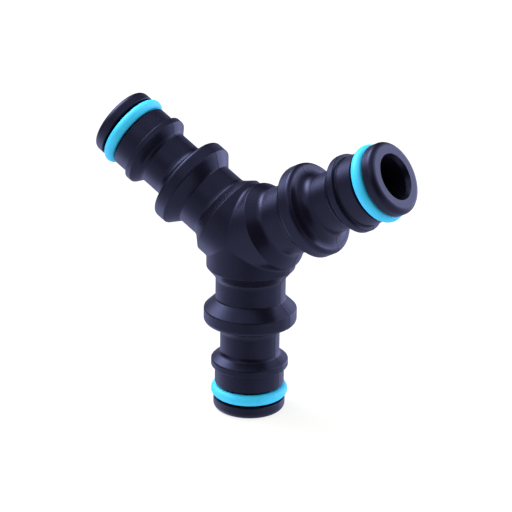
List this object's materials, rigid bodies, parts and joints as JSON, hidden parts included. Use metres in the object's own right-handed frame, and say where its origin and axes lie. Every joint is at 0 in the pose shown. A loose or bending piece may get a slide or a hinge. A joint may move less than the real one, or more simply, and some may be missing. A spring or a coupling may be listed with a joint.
{
  "type": "y-shaped hose coupling",
  "caption": "Y-shaped garden hose coupling: equal ring-lock spigots leave one bored hub in one plane, each with a stop flange, a latch groove, a latch ring and a rubber seal ring.",
  "frame": {"origin": "hub centre, where the axes of the three spigots meet", "axes": "all spigot axes lie in the XZ plane; -Z runs along the lower spigot to its tip, the left and right spigots rise at 30 degrees to -X and +X, and Y is across the plane"},
  "size_m": [0.0786, 0.0208, 0.0685],
  "materials": {
    "moulding": "semi-gloss moulded navy plastic",
    "seal": "smooth cyan rubber"
  },
  "bodies": {
    "root": {"body": "moulding", "seal_ring_lower": "seal", "seal_ring_left": "seal", "seal_ring_right": "seal"}
  },
  "joints": []
}
